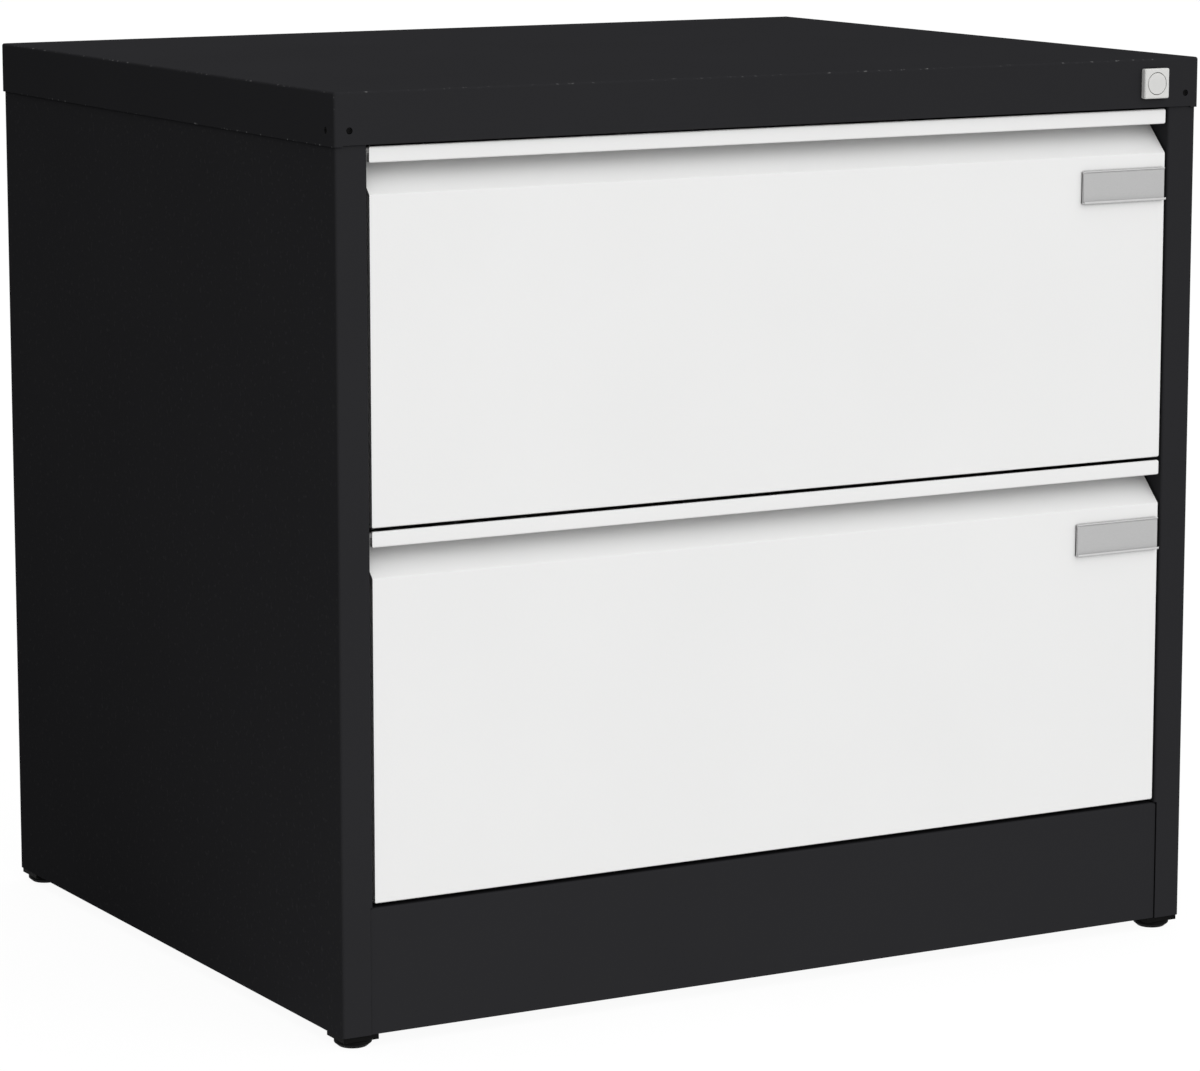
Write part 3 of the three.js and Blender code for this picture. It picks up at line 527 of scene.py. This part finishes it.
def lock_case():
    """The square case, hollow round the plug, from the groove's mouth to the end of its shank."""
    low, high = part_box("lock_housing")
    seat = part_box("top_cap")[0].y
    half = (high.x - low.x) / 2
    plug_low, plug_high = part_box("lock_barrel")
    bore = (plug_high.x - plug_low.x) / 2 + LOCK_BORE_GAP
    mouth = (LOCK_GROOVE + LOCK_GROOVE_WIDTH) / 2
    shank = bore + LOCK_SHANK_WALL
    groove_end = low.y + LOCK_GROOVE_DEPTH
    profile = [
        (square(half, LOCK_CORNER), seat),
        (square(half, LOCK_CORNER), low.y + LOCK_BEVEL),
        (square(half - LOCK_BEVEL, LOCK_CORNER - LOCK_BEVEL), low.y),
        (circle(mouth, LOCK_POINTS), low.y),
        (circle(mouth, LOCK_POINTS), groove_end),
        (circle(bore, LOCK_POINTS), groove_end),
        (circle(bore, LOCK_POINTS), high.y),
        (circle(shank, LOCK_POINTS), high.y),
        (circle(shank, LOCK_POINTS), seat),
    ]
    centre = (low + high) / 2
    mesh = bmesh.new()
    skin(mesh, [facing_front(centre, ring, y) for ring, y in profile], joined=True)
    soften(piece("lock_case", mesh, "lock_grey", "carcass", "lock_housing"), CRISP)


def lock_plug():
    """The round plug: a wide head in the groove's middle and a shank in the bore."""
    low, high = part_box("lock_barrel")
    head = (LOCK_GROOVE - LOCK_GROOVE_WIDTH) / 2
    head_end = low.y + LOCK_GROOVE_DEPTH - LOCK_BORE_GAP
    shank = (high.x - low.x) / 2
    profile = [(head, low.y), (head, head_end), (shank, head_end), (shank, high.y)]
    centre = (low + high) / 2
    mesh = bmesh.new()
    skin(mesh, [facing_front(centre, circle(r, LOCK_POINTS), y) for r, y in profile])
    soften(piece("lock_plug", mesh, "lock_grey", "lock_barrel", "lock_barrel"), CRISP)


def stem_ring(height):
    """Points of the M8 thread at one height: the groove runs round as a helix."""
    ring = []
    for point in circle(1.0):
        turn = math.atan2(point.y, point.x) / (2 * math.pi)
        phase = (height / THREAD_PITCH - turn) % 1.0
        ring.append(point * (FOOT_STEM - THREAD_DEPTH * abs(2 * phase - 1)))
    return ring


def levelling_foot(corner):
    """A disc that spreads upwards from its sole, and its threaded stem."""
    node = corner + "_levelling_foot"
    low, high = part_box(node)
    centre = (low + high) / 2
    disc_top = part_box(corner + "_foot_block")[0].z - FOOT_GAP
    radius = (high.x - low.x) / 2
    slope = disc_top / 2
    profile = [
        (FOOT_SOLE - FOOT_FILLET, low.z),
        (FOOT_SOLE, low.z + FOOT_FILLET / 2),
        (radius - FOOT_FILLET / 2, slope),
        (radius, slope + FOOT_FILLET),
        (radius, disc_top - FOOT_FILLET),
        (radius - FOOT_FILLET / 3, disc_top - FOOT_FILLET / 3),
        (radius - FOOT_FILLET, disc_top),
    ]
    rings = [(circle(r), z) for r, z in profile]
    count = round((high.z - disc_top) / THREAD_PITCH * THREAD_STEPS)
    for k in range(count + 1):
        z = disc_top + (high.z - disc_top) * k / count
        rings.append((stem_ring(z), z))
    mesh = bmesh.new()
    skin(mesh, [[Vector((centre.x + u, centre.y + v, z)) for u, v in ring] for ring, z in rings])
    soften(piece(corner + "_glide", mesh, "foot_black", corner + "_foot", node), FINE)


def ball_cage(level, side, kind):
    """A bent strip with a row of balls in each of its two edges."""
    node = f"{level}_{side}_{kind}_ball_cage"
    low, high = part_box(node)
    out = SIDES[side]
    web = high.x if out > 0 else low.x
    tip = low.x if out > 0 else high.x
    ball = CAGE_BALL[kind]
    row = (high.z - low.z) / 2 - ball
    mid = (low.z + high.z) / 2
    edge = row + CAGE_SHEET / 2
    outline = rounded([
        (tip, mid + edge, CRISP),
        (web, mid + edge, CAGE_BEND),
        (web, mid - edge, CAGE_BEND),
        (tip, mid - edge, CRISP),
        (tip, mid - edge + CAGE_SHEET, CRISP),
        (web - out * CAGE_SHEET, mid - edge + CAGE_SHEET, CAGE_BEND - CAGE_SHEET),
        (web - out * CAGE_SHEET, mid + edge - CAGE_SHEET, CAGE_BEND - CAGE_SHEET),
        (tip, mid + edge - CAGE_SHEET, CRISP),
    ])
    mesh = bmesh.new()
    skin(mesh, [[Vector((u, y, v)) for u, v in outline] for y in (low.y, high.y)])
    spacing = (high.y - low.y) / CAGE_BALLS
    for i in range(CAGE_BALLS):
        for z in (mid - row, mid + row):
            place = Vector((web - out * CAGE_BALL_IN[kind], low.y + (i + 0.5) * spacing, z))
            bmesh.ops.create_icosphere(
                mesh, subdivisions=CAGE_BALL_SUBDIVISIONS, radius=ball,
                matrix=Matrix.Translation(place))
    body = f"{level}_{kind}_cages"
    soften(piece(f"{level}_{side}_{kind}_bearing", mesh, "zinc_steel", body, node), CRISP)


def hexagon(radius):
    """A hexagon, as points at even angles round its middle."""
    outline = []
    for point in circle(radius):
        off_flat = math.atan2(point.y, point.x) % (math.pi / 3) - math.pi / 6
        outline.append(point * math.cos(math.pi / 6) / math.cos(off_flat))
    return outline


def cap_screw(name, seat, out, rise):
    """A low round head on a surface that faces out, with a hexagon socket."""
    shoulder_in, shoulder_up = SCREW_SHOULDER
    profile = [
        (circle(CAP_SCREW), 0.0),
        (circle(CAP_SCREW), rise * SCREW_SIDE),
        (circle(CAP_SCREW - SCREW_CROWN * shoulder_in), rise * shoulder_up),
        (circle(CAP_SCREW - SCREW_CROWN), rise),
        (hexagon(SOCKET), rise),
        (hexagon(SOCKET), rise - SOCKET_DEPTH),
    ]
    turn = Vector((0, 0, 1)).rotation_difference(out).to_matrix()
    mesh = bmesh.new()
    skin(mesh, [[seat + turn @ Vector((u, v, h)) for u, v in ring] for ring, h in profile])
    # near-black heads: the screws' own black, and painted shade for the holes
    soften(piece(name, mesh, "foot_black", "carcass"), FINE)


def cap_screws():
    """Screws sunk in the holes at the front corners of the cap; their near-black heads also stand in
    as painted shade for the dark holes.
    """
    cap_low, cap_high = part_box("top_cap")
    z = cap_high.z - CAP_HOLE_DOWN
    for side, out in SIDES.items():
        panel_low, panel_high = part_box(side + "_side_panel")
        edge = cap_high.x * out
        front = Vector((edge - out * CAP_HOLE_IN_X, panel_low.y, z))
        rise = panel_low.y - cap_low.y - CAP_SCREW_SUNK
        cap_screw(side + "_front_cap_screw", front, Vector((0, -1, 0)), rise)
        flank = Vector((panel_high.x if out > 0 else panel_low.x, cap_low.y + CAP_HOLE_IN_Y, z))
        rise = abs(edge - flank.x) - CAP_SCREW_SUNK
        cap_screw(side + "_side_cap_screw", flank, Vector((out, 0, 0)), rise)


def rear_rivets():
    """Domed rivets down the rear flanges, which hold the back panel."""
    arc = [math.pi / 2 * k / RIVET_STEPS for k in range(RIVET_STEPS)]
    profile = [(RIVET * math.cos(a), RIVET_RISE * math.sin(a)) for a in arc]
    for side, out in SIDES.items():
        low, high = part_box(side + "_side_panel")
        x = (high.x if out > 0 else low.x) - out * RIVET_IN
        mesh = bmesh.new()
        for i in range(RIVETS):
            share = i / (RIVETS - 1)
            z = low.z + RIVET_MARGIN + share * (high.z - low.z - 2 * RIVET_MARGIN)
            centre = Vector((x, 0, z))
            skin(mesh, [facing_front(centre, circle(r), high.y + h) for r, h in profile])
        piece(side + "_rear_rivets", mesh, "carcass_black", "carcass").data.shade_smooth()


def dress_nodes():
    """Gives every CAD node its finish and softened edges."""
    for name, obj in frame["nodes"].items():
        for slot in obj.material_slots:
            slot.material = FINISHES[SLOT_OF[name]]
        flatten(obj)
        soften(obj)


def floor_finish():
    """White with the object's shadow in the picture; what it gives back is brighter in front."""
    material = bpy.data.materials.new("floor_white")
    material.use_nodes = True
    material.cycles.emission_sampling = "NONE"  # not sampled as a lamp
    material.node_tree.nodes.clear()
    graph = Graph(material.node_tree)
    place = graph.node("TexCoord").outputs["Object"]
    y = graph.node("SeparateXYZ", {"Vector": place}).outputs["Y"]
    ends = (FLOOR_BRIGHT, FLOOR_DIM, FLOOR_BRIGHT_Y, FLOOR_DIM_Y)
    level = graph.span(y, *ends, interpolation_type="SMOOTHSTEP")
    given = graph.node("Emission", {"Strength": level})
    shaded = graph.node("BsdfDiffuse", {"Color": grey(FLOOR_SHADOW)})
    glow = graph.node("Emission", {"Color": grey(FLOOR_GLOW)})
    shown = graph.node("AddShader", {0: shaded.outputs[0], 1: glow.outputs[0]})
    graph.node("OutputMaterial", {"Surface": graph.backdrop(given, shown)})
    return material


def floor():
    """A wide plain floor under the object."""
    half = FLOOR_SIZE / 2
    data = bpy.data.meshes.new("floor")
    sheet = [(-half, -half, 0), (half, -half, 0), (half, half, 0), (-half, half, 0)]
    data.from_pydata(sheet, [], [(0, 1, 2, 3)])
    data.materials.append(floor_finish())
    obj = bpy.data.objects.new("floor", data)
    bpy.context.scene.collection.objects.link(obj)


def sky():
    """Soft light from all round, stronger from the front, the top and the right, shown as white."""
    world = bpy.data.worlds.new("studio")
    world.use_nodes = True
    world.node_tree.nodes.clear()
    graph = Graph(world.node_tree)
    direction = graph.node("TexCoord").outputs["Generated"]
    x, y, z = graph.node("SeparateXYZ", {"Vector": direction}).outputs
    front = graph.combine("Math", "MINIMUM", y, 0.0)
    parts = (
        (ROOM_RIGHT, x, 1.0),
        (ROOM_BACK, y, 1.0),
        (ROOM_TOP, z, z),
        (ROOM_FRONT, front, front),
    )
    level = ROOM_LEVEL
    for share, first, second in parts:
        part = graph.combine("Math", "MULTIPLY", first, second)
        level = graph.combine("Math", "MULTIPLY_ADD", part, share, level)
    level = graph.combine("Math", "MAXIMUM", level, 0.0)
    given = graph.node("Background", {"Color": grey(1.0), "Strength": level})
    shown = graph.node("Background", {"Color": grey(1.0)})
    graph.node("OutputWorld", {"Surface": graph.backdrop(given, shown)})
    bpy.context.scene.world = world


def sun(name, level, source, spread):
    """A lamp that gives a face turned towards it the level."""
    light = bpy.data.lights.new(name, "SUN")
    light.energy = math.pi * level
    light.angle = spread
    obj = bpy.data.objects.new(name, light)
    obj.rotation_euler = Vector(source).to_track_quat("Z", "Y").to_euler()
    bpy.context.scene.collection.objects.link(obj)


def camera():
    data = bpy.data.cameras.new("camera")
    data.sensor_width = CAMERA_SENSOR
    data.lens = CAMERA_LENS
    obj = bpy.data.objects.new("camera", data)
    obj.location = CAMERA_PLACE
    obj.rotation_euler = (math.pi / 2 - CAMERA_PITCH, 0, -CAMERA_AZIMUTH)
    bpy.context.scene.collection.objects.link(obj)
    bpy.context.scene.camera = obj


def finer_pieces():
    """Builds the pieces that stand for plainer CAD nodes, and the fasteners."""
    for level in LEVELS:
        card_holder(level)
        for side in SIDES:
            for kind in CAGE_BALL:
                ball_cage(level, side, kind)
    lock_case()
    lock_plug()
    for end in ("front", "rear"):
        for side in SIDES:
            levelling_foot(f"{end}_{side}")
    cap_screws()
    rear_rivets()


def corners(box):
    return [list(corner) for corner in box]


bpy.context.scene.view_settings.view_transform = "Standard"
dress_nodes()
finer_pieces()
floor()
sky()
sun("key", KEY_LEVEL, KEY_FROM, KEY_SPREAD)
camera()
